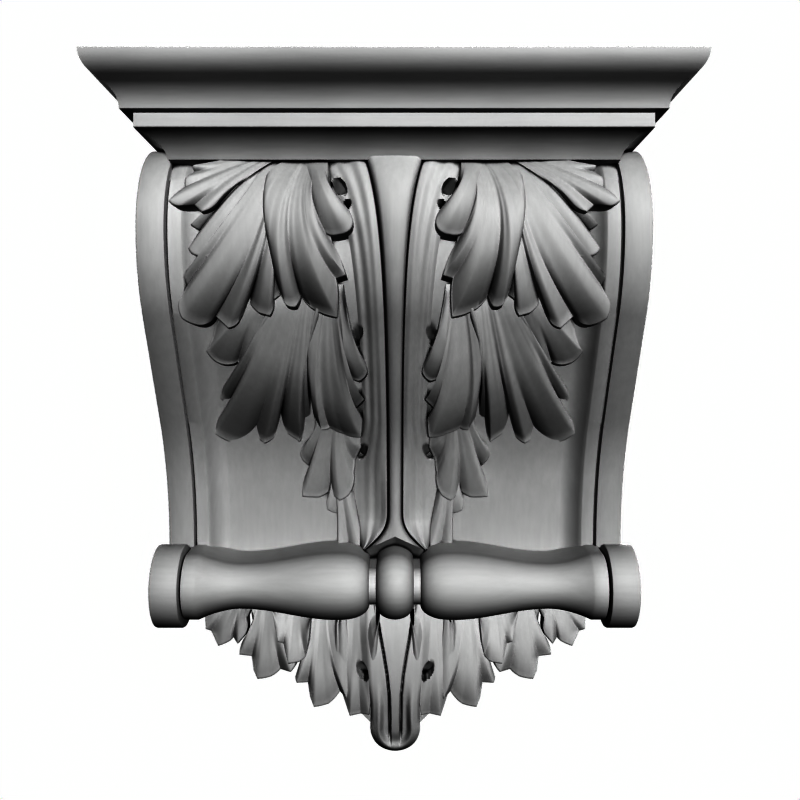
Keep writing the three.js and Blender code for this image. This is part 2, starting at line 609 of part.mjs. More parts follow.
// A hole that follows the line of sight of somebody standing in front of the console.
const EYE_DISTANCE = 576;
function eye(outline, outFrom, outTo) {
  const layer = (out) => outline.map(([x, z]) => {
    const grow = (EYE_DISTANCE - out) / (EYE_DISTANCE - pendantOut(x, z));
    return [x * grow, out, z * grow];
  });
  return throughRings([layer(outFrom), layer(outTo)], ([x, , z]) => new THREE.Vector2(x, z));
}
const EYES = [
  [[-20.2, -151.5], [-19.7, -143.3], [-17, -141], [-13.5, -144], [-15, -148]],
];

function carvedBody() {
  const leafHalves = [
    ...SPRAY.map((shape) => leaf(shape)),
    ...PENDANT.map((shape) => leaf({ ...shape, ground: pendantOut, thick: PENDANT_THICK })),
  ];
  const halves = union([rail(), ...leafHalves]);
  const drop = leaf({ ...DROP, ground: pendantOut, thick: PENDANT_THICK });
  const whole = union([halves, mirrored(halves), panelBlock(), sheaf(), pendantCore(), drop]);
  const holes = union(EYES.map((outline) => eye(outline.map(inField), -SINK, FOOT_OUT + ROLLER_STANDS)));
  return whole.subtract(crownBlock(GAP)).subtract(roller(GAP)).subtract(holes).subtract(mirrored(holes));
}

// A solid as a named mesh in the painted wood's colour.
function piece(name, whole, colour) {
  const { vertProperties, triVerts, numProp } = whole.getMesh();
  const place = new Float32Array(triVerts.length * 3);
  triVerts.forEach((v, i) => place.set(vertProperties.subarray(v * numProp, v * numProp + 3), i * 3));
  const loose = new THREE.BufferGeometry().setAttribute('position', new THREE.BufferAttribute(place, 3));
  const geometry = mergeVertices(loose, 0.0005);
  geometry.computeVertexNormals();
  const paint = new THREE.MeshStandardMaterial({ color: colour, roughness: 0.75, metalness: 0 });
  const mesh = new THREE.Mesh(geometry, paint);
  mesh.name = name;
  return mesh;
}

const corbel = new THREE.Group();
corbel.name = 'corbel_bracket';
corbel.add(piece('crown_moulding', crownBlock(), '#a9a9a7'));
corbel.add(piece('carved_body', carvedBody(), '#9f9f9d'));
corbel.add(piece('roller', roller(), '#a4a4a2'));

export default corbel;
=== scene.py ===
# The carved corbel bracket's looks: fine mouldings, the acanthus carving, a matt grey
# painted wood, a plain floor and soft studio light. Sizes in millimetres until a mesh is
# made. "out" is the distance from the wall, so y = -out, and z is up.
import math

import bmesh
import bpy
import numpy as np
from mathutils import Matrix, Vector


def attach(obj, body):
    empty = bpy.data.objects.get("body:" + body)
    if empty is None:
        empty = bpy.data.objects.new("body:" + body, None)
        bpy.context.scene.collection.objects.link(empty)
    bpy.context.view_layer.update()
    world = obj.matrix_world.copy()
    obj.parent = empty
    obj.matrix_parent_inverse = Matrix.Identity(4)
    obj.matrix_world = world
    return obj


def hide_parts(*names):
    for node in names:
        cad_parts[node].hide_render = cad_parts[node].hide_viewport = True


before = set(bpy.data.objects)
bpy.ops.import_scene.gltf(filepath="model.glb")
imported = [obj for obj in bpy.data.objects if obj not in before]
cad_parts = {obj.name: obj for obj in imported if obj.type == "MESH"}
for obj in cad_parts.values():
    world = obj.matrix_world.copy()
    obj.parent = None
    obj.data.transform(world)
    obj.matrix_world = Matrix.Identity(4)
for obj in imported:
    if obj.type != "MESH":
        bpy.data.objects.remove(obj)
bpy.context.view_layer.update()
MM = 0.001
# Distance from the wall to the eye that the leaves' outlines were measured from.
VIEW = 576.0

# Console
HALF = 120.0
RAIL_WIDTH = 13.3
RAIL_STEP = 3.5
STRIP_WIDTH = 7.2
COVE_WIDTH = 10.5
PANEL_SINK = 11.0
BODY_TOP = 124.7
BODY_BOTTOM = -108.0
BELLY_OUT, BELLY_Z = 136.2, 81.0
SHOULDER_RADIUS, BELLY_RADIUS, HOLLOW_RADIUS = 44.0, 75.0, 124.0
SLOPE_ANGLE = math.radians(33)
FOOT_OUT = 70.9
INNER_X = HALF - RAIL_WIDTH
STRIP_X = INNER_X - STRIP_WIDTH

# Crown moulding: a cove, a band, a soffit, and a cyma of two arcs with a flat between them
CROWN_FOOT_OUT = 127.8
CROWN_FOOT_Z = 113.33
COVE_RADIUS, COVE_TOP = 16.5, 125.0
BAND_STANDS, BAND_TOP, BAND_EDGE = 1.3, 132.0, 0.3
SOFFIT, SOFFIT_EDGE = 5.0, 0.25
CYMA_LOW, CYMA_HIGH, CYMA_FLAT, CYMA_TURN = 13.0, 11.4, 3.7, math.radians(57)
CROWN_TOP, CROWN_EDGE = 154.95, 0.35

# Roller
ROLLER_OUT, ROLLER_Z = 81.6, -96.6
CAP_RADIUS, CAP_X, CAP_END = 21.2, 108.6, 123.0
RING_RADIUS, WAIST_RADIUS, BULB_RADIUS, NECK_RADIUS, BEAD_RADIUS = 17.1, 11.6, 17.3, 9.5, 17.1
BEAD_HALF, NECK_END, BULB_X, WAIST_X, RING_X = 9.7, 13.3, 30.0, 80.0, 101.4
SADDLE_RISE = 3.0

# Deep eyes between the leaves and the flutes: x, z, half width, half height, lean, depth.
EYES = [
    (26, 100.6, 2.7, 4.8, 0.55, 17),
    (22.2, 91.5, 1.5, 2.7, -0.6, 12),
    (17.4, 32.5, 1.7, 3.4, -0.35, 6),
    (17.3, -27.0, 2.2, 4.2, -0.45, 8),
]
# How far the back of a carved form lies inside the block.
SUNK = 3.0

# Pendant
PENDANT_TOP, PENDANT_FOOT = -100.0, -204.0
PENDANT_TOP_OUT, PENDANT_FOOT_OUT, PENDANT_SIDE_FALL = 64.0, 26.0, 20.0
PENDANT_THICK = 11.0

# Stem and the flutes beside it
STEM_TOP, STEM_FOOT = 115.0, -79.6
STEM_HIGH = 12.5
# Each flute's place across the sheaf, which way it sways, its height and its width.
FLUTES = [(0.24, 1, 1.5, 0.15), (0.56, -1, 1.3, 0.14), (0.84, 1, 1.0, 0.12)]


def rail_out(z):
    """The side rail's front: shoulder, belly, slope, hollow and foot, from the top down."""
    z = np.asarray(z, float)
    z1 = BELLY_Z - BELLY_RADIUS * math.sin(SLOPE_ANGLE)
    o1 = BELLY_OUT - BELLY_RADIUS * (1 - math.cos(SLOPE_ANGLE))
    o2 = FOOT_OUT + HOLLOW_RADIUS * (1 - math.cos(SLOPE_ANGLE))
    z2 = z1 - (o1 - o2) / math.tan(SLOPE_ANGLE)
    z3 = z2 - HOLLOW_RADIUS * math.sin(SLOPE_ANGLE)
    rise = np.clip(z - BELLY_Z, 0, SHOULDER_RADIUS)
    top = BELLY_OUT - SHOULDER_RADIUS + np.sqrt(np.maximum(SHOULDER_RADIUS**2 - rise**2, 0))
    belly = BELLY_OUT - BELLY_RADIUS + np.sqrt(np.maximum(BELLY_RADIUS**2 - (BELLY_Z - z) ** 2, 0))
    slope = o1 - (z1 - z) * math.tan(SLOPE_ANGLE)
    hollow = FOOT_OUT + HOLLOW_RADIUS - np.sqrt(np.maximum(HOLLOW_RADIUS**2 - (z - z3) ** 2, 0))
    return np.select([z >= BELLY_Z, z >= z1, z >= z2, z >= z3], [top, belly, slope, hollow], FOOT_OUT)


def panel_out(x, z):
    """The sunk panel's front. x is there because a leaf's ground may depend on it."""
    return rail_out(z) - PANEL_SINK


def pendant_out(x, z):
    """The pendant's ground, which falls back towards its foot and its sides."""
    down = np.clip((PENDANT_TOP - z) / (PENDANT_TOP - PENDANT_FOOT), 0, 1)
    middle = PENDANT_FOOT_OUT + (PENDANT_TOP_OUT - PENDANT_FOOT_OUT) * np.sqrt(1 - down**2)
    return middle - PENDANT_SIDE_FALL * (x / INNER_X) ** 2


def smooth(u):
    u = np.clip(u, 0, 1)
    return u * u * (3 - 2 * u)


def bell(v, centre, width):
    return np.exp(-(((v - centre) / width) ** 2))


def scoop(x, z, pits):
    """Depth of the pits at (x, z): each is (x, z, half width, half height, lean, depth), and
    its floor slopes away from the light, deeper towards its lower end."""
    depth = 0.0
    for px, pz, width, height, lean, most in pits:
        along = (z - pz) * math.cos(lean) + (x - px) * math.sin(lean)
        across = (x - px) * math.cos(lean) - (z - pz) * math.sin(lean)
        inside = 1 - smooth(((across / width) ** 2 + (along / height) ** 2 - 0.8) / 0.4)
        depth = depth + inside * most * np.clip((height - along) / (2 * height), 0, 1)
    return depth


# Mesh helpers
def mesh_object(name, points, faces, sharp=35.0):
    """points are [x, out, z] in millimetres; the faces are turned to look outwards."""
    data = bpy.data.meshes.new(name)
    data.from_pydata([(x * MM, -o * MM, z * MM) for x, o, z in points], [], faces)
    bm = bmesh.new()
    bm.from_mesh(data)
    bmesh.ops.remove_doubles(bm, verts=bm.verts, dist=2e-6)
    bmesh.ops.dissolve_degenerate(bm, edges=bm.edges, dist=1e-6)
    bmesh.ops.recalc_face_normals(bm, faces=bm.faces)
    limit = math.radians(sharp)
    for f in bm.faces:
        f.smooth = True
    for e in bm.edges:
        if len(e.link_faces) == 2 and e.calc_face_angle(0) > limit:
            e.smooth = False
    bm.to_mesh(data)
    bm.free()
    obj = bpy.data.objects.new(name, data)
    bpy.context.scene.collection.objects.link(obj)
    return obj


def grid_faces(rows, columns, offset=0, flip=False, close=False):
    faces = []
    last = columns if close else columns - 1
    for r in range(rows - 1):
        for c in range(last):
            d = (c + 1) % columns
            f = [offset + r * columns + c, offset + (r + 1) * columns + c]
            f += [offset + (r + 1) * columns + d, offset + r * columns + d]
            faces.append(f[::-1] if flip else f)
    return faces


def rings_solid(rings):
    """A closed mesh through rings of [x, out, z] points; each end is one face."""
    count = len(rings[0])
    points = [p for ring in rings for p in ring]
    faces = grid_faces(len(rings), count, close=True)
    faces.append(list(range(count)))
    faces.append([(len(rings) - 1) * count + i for i in range(count)][::-1])
    return points, faces


def joined(name, solids, sharp=35.0):
    points, faces = [], []
    for p, f in solids:
        base = len(points)
        points += [tuple(q) for q in p]
        faces += [[base + i for i in face] for face in f]
    return mesh_object(name, points, faces, sharp)


def mirrored(solid):
    points, faces = solid
    return [(-x, o, z) for x, o, z in points], [f[::-1] for f in faces]


# Crown moulding
def arc(radius, start, end, count):
    return [(radius * math.cos(a), radius * math.sin(a)) for a in np.linspace(start, end, count + 1)]


def crown_profile():
    """[stands out beyond the foot, height]: cavetto, band, soffit, cyma, lip."""
    cove = arc(COVE_RADIUS, math.radians(15), math.radians(75), 16)
    rise = cove[-1][1] - cove[0][1]
    p = [(cove[0][0] - c, COVE_TOP - rise + s - cove[0][1]) for c, s in cove]
    stands = p[-1][0] + BAND_STANDS
    p += [(stands - BAND_EDGE, COVE_TOP), (stands, COVE_TOP + BAND_EDGE)]
    p += [(stands, BAND_TOP - BAND_EDGE), (stands - BAND_EDGE, BAND_TOP)]
    foot, turn = stands + SOFFIT, CYMA_TURN
    p += [(foot - SOFFIT_EDGE, BAND_TOP), (foot, BAND_TOP + SOFFIT_EDGE)]
    p += [(foot + CYMA_LOW - c, BAND_TOP + s) for c, s in arc(CYMA_LOW, 0, turn, 18)[1:]]
    p.append((p[-1][0] + CYMA_FLAT * math.sin(turn), p[-1][1] + CYMA_FLAT * math.cos(turn)))
    tx, tz = p[-1]
    ec, es = CYMA_HIGH * math.cos(turn), CYMA_HIGH * math.sin(turn)
    p += [(tx + c - ec, tz + es - s) for c, s in arc(CYMA_HIGH, turn, 0, 18)[1:]]
    end = p[-1][0]
    p += [(end, CROWN_TOP - CROWN_EDGE), (end - CROWN_EDGE, CROWN_TOP)]
    return p


def crown():
    rings = []
    for stands, z in crown_profile():
        half, out = INNER_X + stands, CROWN_FOOT_OUT + stands
        xs = np.linspace(-half, half, 41)
        ys = np.linspace(0, out, 21)
        ring = [(-half, o, z) for o in ys[:-1]] + [(x, out, z) for x in xs]
        ring += [(half, o, z) for o in ys[::-1][1:]]
        rings.append(ring)
    return rings_solid(rings)


# Roller
def roller_radius(x):
    """From the middle out: bead, neck, bulb, waist and the ring before the cap."""
    d = abs(x)
    if d <= BEAD_HALF:
        return NECK_RADIUS + (BEAD_RADIUS - NECK_RADIUS) * math.sqrt(max(0, 1 - (d / BEAD_HALF) ** 2))
    if d <= NECK_END:
        return NECK_RADIUS
    if d <= BULB_X:
        u = (BULB_X - d) / (BULB_X - NECK_END)
        return NECK_RADIUS + (BULB_RADIUS - NECK_RADIUS) * math.sqrt(max(0, 1 - u**2.4))
    if d <= WAIST_X:
        u = (d - BULB_X) / (WAIST_X - BULB_X)
        return BULB_RADIUS + (WAIST_RADIUS - BULB_RADIUS) * (1 - math.cos(math.pi * u)) / 2
    if d <= RING_X:
        return WAIST_RADIUS + (RING_RADIUS - WAIST_RADIUS) * ((d - WAIST_X) / (RING_X - WAIST_X)) ** 1.8
    return RING_RADIUS


def roller():
    """The turned bar, carried back to the block by a D-shaped section, and its two caps."""
    half = [BEAD_HALF * math.sin(a) for a in np.linspace(0, math.pi / 2, 15)[1:]]
    half += [BULB_X - (BULB_X - NECK_END) * math.cos(a) for a in np.linspace(0, math.pi / 2, 17)]
    half += list(np.linspace(BULB_X, WAIST_X, 31)[1:])
    half += list(np.linspace(WAIST_X, RING_X, 17)[1:])
    side = [(x, roller_radius(x)) for x in half]
    side += [(CAP_X - 0.9, RING_RADIUS), (CAP_X - 0.55, RING_RADIUS - 0.2)]
    side.append((CAP_X - 0.4, RING_RADIUS - 0.9))
    section = [(-x, r) for x, r in side[::-1]] + [(0, roller_radius(0))] + side
    around = 56
    bed = FOOT_OUT - PANEL_SINK + 0.3
    rings = []
    for x, r in section:
        angles = np.linspace(0, math.pi, around)
        ring = [(x, ROLLER_OUT + r * math.sin(a), ROLLER_Z + r * math.cos(a)) for a in angles]
        low = min(BODY_BOTTOM, ROLLER_Z - r + 0.5)
        for k in np.linspace(0, 1, 6)[1:]:
            under = (ROLLER_Z - r) + (low - ROLLER_Z + r) * k
            ring.append((x, ROLLER_OUT + (bed - ROLLER_OUT) * k, under))
        for k in np.linspace(0, 1, 9)[1:-1]:
            ring.append((x, bed, low + (ROLLER_Z + r + SADDLE_RISE - low) * k))
        for k in np.linspace(0, 1, 8)[:-1]:
            ring.append((x, bed + (ROLLER_OUT - bed) * k, ROLLER_Z + r + SADDLE_RISE * (1 - k)))
        rings.append(ring)
    solids = [rings_solid(rings)]
    for s in (-1, 1):
        disc = [(CAP_X, CAP_RADIUS - 0.8), (CAP_X + 0.25, CAP_RADIUS - 0.25), (CAP_X + 0.8, CAP_RADIUS)]
        disc += [(CAP_END - 1.1, CAP_RADIUS), (CAP_END - 0.35, CAP_RADIUS - 0.3), (CAP_END, CAP_RADIUS - 1.1)]
        disc += [(CAP_END, CAP_RADIUS - 3.4), (CAP_END - 0.5, CAP_RADIUS - 4.2), (CAP_END - 0.5, 3.0)]
        rings = []
        for x, r in [(CAP_X, 2.0)] + disc:
            angles = np.linspace(0, 2 * math.pi, 73)[:-1]
            ring = [(s * x, ROLLER_OUT + r * math.sin(a), ROLLER_Z + r * math.cos(a)) for a in angles]
            rings.append(ring)
        solids.append(rings_solid(rings))
    return solids


# Console body
def rows_of(bottom, top, spacing=2.0):
    """Heights of the rows, evenly spaced along the front, round the shoulder too."""
    below = np.linspace(bottom, BELLY_Z, int((BELLY_Z - bottom) / spacing))
    reach = math.asin(min(1, (top - BELLY_Z) / SHOULDER_RADIUS))
    angles = np.linspace(0, reach, int(SHOULDER_RADIUS * reach / spacing) + 3)[1:]
    return list(below) + [BELLY_Z + SHOULDER_RADIUS * math.sin(a) for a in angles]


def rail():
    """The right side rail. Its inner face turns outwards where it meets the crown."""
    edge, turned = 0.7, 12
    rings = []
    for z in rows_of(BODY_BOTTOM, BODY_TOP):
        f = float(rail_out(z))
        inner = INNER_X
        if z > CROWN_FOOT_Z:
            u = min(1.0, (z - CROWN_FOOT_Z) / (BODY_TOP - CROWN_FOOT_Z))
            inner = INNER_X + turned * (1 - math.sqrt(max(0.0, 1 - u**2)))
        soft = f - edge * 0.3
        ring = [(inner, 0, z), (inner, f * 0.5, z), (inner, f - edge, z)]
        ring += [(inner + edge * 0.3, soft, z), (inner + edge, f, z), (HALF - edge, f, z)]
        ring += [(HALF - edge * 0.3, soft, z), (HALF, f - edge, z), (HALF, f * 0.5, z), (HALF, 0, z)]
        rings.append(ring)
    return rings_solid(rings)


def block():
    """The block between the rails: an edge strip, a hollow and the sunk panel, from each side."""
    behind_eyes = [(x, z, w + 1.2, h + 1.6, lean, depth + 2) for x, z, w, h, lean, depth in EYES]
    rings = []
    for z in rows_of(BODY_BOTTOM, CROWN_FOOT_Z):
        f = float(rail_out(z))
        strip = f - RAIL_STEP
        half = [(INNER_X - 0.02, 0), (INNER_X - 0.02, 2), (INNER_X + 1, 2), (INNER_X + 1, strip - 0.6)]
        half.append((INNER_X - 0.1, strip - 0.6))
        half += [(INNER_X - 0.7, strip), (STRIP_X + 0.4, strip)]
        for a in np.linspace(0, math.pi / 2, 13):
            depth = (PANEL_SINK - RAIL_STEP) * (1 - math.sin(a)) ** 2
            half.append((STRIP_X - COVE_WIDTH * math.sin(a) - 0.1, f - PANEL_SINK + depth * 0.97))
        coarse = np.linspace(STRIP_X - COVE_WIDTH - 0.1, 33, 8)[1:]
        across = np.concatenate([coarse, np.linspace(33, 9, 25)[1:], [4, 0]])
        half += [(x, f - PANEL_SINK - float(scoop(x, z, behind_eyes))) for x in across]
        ring = [(x, o, z) for x, o in half] + [(-x, o, z) for x, o in half[::-1][1:]]
        rings.append(ring)
    return rings_solid(rings)


# Leaves
def rim_points(rim, pitch):
    """Points along the bowed sides between the corners, how far along its side each one is,
    and which side that is."""
    xs, zs, us, idx = [], [], [], []
    for i in range(len(rim) - 1):
        x0, z0, bow = rim[i][0], rim[i][1], rim[i][3]
        x1, z1 = rim[i + 1][0], rim[i + 1][1]
        length = math.hypot(x1 - x0, z1 - z0)
        n = max(3, int(math.ceil(length / pitch)))
        u = np.linspace(0, 1, n + 1)[: n + 1 if i == len(rim) - 2 else n]
        bulge = 4 * bow * u * (1 - u)
        xs.append(x0 + (x1 - x0) * u + bulge * (z1 - z0))
        zs.append(z0 + (z1 - z0) * u - bulge * (x1 - x0))
        us.append(u)
        idx.append(np.full(len(u), i))
    return map(np.concatenate, (xs, zs, us, idx))


def spread(values, share):
    """A list spaced evenly along the rim, read at each rim point's share of its length."""
    return np.interp(share, np.linspace(0, 1, len(values)), values)


def leaf(spec, ground, thick=0.0):
    """A fan of ribs from a root, over a middle, to a rim of corners.

    root and via are (x, z) points spread along the rim. A corner of the rim is (x, z, crest,
    bow, inner crest, start): crest is 1 on the ridge that ends in a tip and -1 in the furrow
    that ends in a notch, inner crest what it becomes nearer the root than start, and bow how
    far the rim bulges on the way to the next corner.

    Heights are above the ground: lift at the root, the middle and the rim, dome in the middle
    of the fan, raised along the rim, and flute for the ridges. The rim rolls down by curl from
    turn on. undercut is how far the wall leans in below the rim, and stand the height at which
    the outline keeps its place for the eye. A leaf without thick reaches into the ground.
    """
    rim = [tuple(c) + (0, 0.0, None, 0.35)[len(c) - 2 :] for c in spec["rim"]]
    flute = spec.get("flute", 3.0)
    thick = spec.get("thick", thick)
    lift, curl, turn = spec["lift"], spec.get("curl", 3.0), spec.get("turn", 0.72)
    sharpness = spec.get("sharp", 1.35)
    xs, zs, us, idx = rim_points(rim, spec.get("pitch", 1.25))
    step = np.hypot(np.diff(xs), np.diff(zs))
    share = np.concatenate([[0], np.cumsum(step)])
    share /= share[-1]
    root = np.array(spec["root"], float)
    via = np.array(spec["via"], float)
    rx, rz = (spread(root[:, k], share) for k in (0, 1))
    vx, vz = (spread(via[:, k], share) for k in (0, 1))
    length = np.hypot(xs - rx, zs - rz)
    crest1 = np.array([c[2] for c in rim], float)
    at = [share[np.argmax(idx == i)] for i in range(len(rim) - 1)] + [1.0]
    kept = [i for i, c in enumerate(rim) if c[4] is not None]
    crest0 = np.interp(at, [at[i] for i in kept], [rim[i][4] for i in kept]) if kept else crest1 * 0
    row = np.hypot(np.diff(xs), np.diff(zs)).sum()
    start = np.array([c[5] for c in rim], float)

    def place(t):
        a, b, c = (1 - t) ** 2, 2 * t * (1 - t), t**2
        return a * rx + b * vx + c * xs, a * rz + b * vz + c * zs

    def relief(t):
        crest = crest0 + (crest1 - crest0) * smooth((t - start) / (1 - start))
        a, b = crest[idx], crest[idx + 1]
        down = np.where(a > b, us, 1 - us)
        soft = 1 - smooth((t - 0.45) / 0.5)
        fall = soft * smooth(down) + (1 - soft) * down**sharpness
        value = np.maximum(a, b) - np.abs(a - b) * fall
        x, z = place(t)
        return flute * (0.5 + 0.5 * t) * np.hypot(np.diff(x), np.diff(z)).sum() / row * value

    flare = np.atleast_1d(spec.get("undercut", -0.4))
    under = np.minimum(spread(flare, share) / length, 0.35)
    lifted = spread(np.atleast_1d(spec.get("raised", 0.0)), share)
    side = np.clip(1 - (2 * share - 1) ** 2, 0, 1) ** 0.8
    dome = spec.get("dome", 3.0)

    def lift_at(t):
        base = lift[0] * (1 - t) * (1 - 2 * t) + lift[1] * 4 * t * (1 - t) + lift[2] * t * (2 * t - 1)
        base = base + dome * (side - 0.6) * smooth(t * 1.6) + lifted * smooth(t * 2)
        return base - curl * np.clip((t - turn) / (1 - turn), 0, 1) ** 2

    pits = spec.get("pits", [])
    stand = spec.get("stand", 13.0)
    round_radius = spec.get("round", 1.0)
    inset = np.minimum(round_radius / length, 0.25)
    rows = spec.get("rows", 26)
    points = []
    for k in np.linspace(0, 1, rows):
        t = k * (1 - inset)
        x, z = place(t)
        high = lift_at(t) + relief(k * (1 - inset.mean()))
        near = (VIEW - ground(x, z) - high) / (VIEW - ground(x, z) - stand)
        x, z = x * near, z * near
        points.append(np.stack([x, ground(x, z) + high - scoop(x, z, pits), z], 1))
    edge = points[-1][:, 1]
    for phi in (25, 50, 72, 90):
        a = math.radians(phi)
        x, z = place(1 - inset + inset * math.sin(a))
        points.append(np.stack([x * near, edge - round_radius * (1 - math.cos(a)), z * near], 1))
    rim_out = points[-1][:, 1]
    for k in (0.12, 0.35, 0.65, 1.0):
        x, z = place(1 - under * k**0.8)
        x, z = x * near, z * near
        floor = rim_out - (thick * 0.62 - round_radius) if thick else ground(x, z) - SUNK
        points.append(np.stack([x, rim_out + (floor - rim_out) * k, z], 1))
    columns = len(xs)
    back_rows = 3 if thick else 2
    for k in np.linspace(1, 0, back_rows + 1)[1:]:
        t = k * (1 - under)
        x, z = place(t)
        x, z = x * near, z * near
        deep = ground(x, z) + lift_at(t) - thick if thick else ground(x, z) - SUNK
        points.append(np.stack([x, np.minimum(deep, ground(x, z) + 30), z], 1))
    total = len(points)
    faces = grid_faces(total, columns)
    for c in range(columns - 1):
        faces.append([(total - 1) * columns + c, c, c + 1, (total - 1) * columns + c + 1])
    first = [r * columns for r in range(total)]
    faces += [first, [i + columns - 1 for i in first][::-1]]
    return [tuple(p) for p in np.concatenate(points)], faces


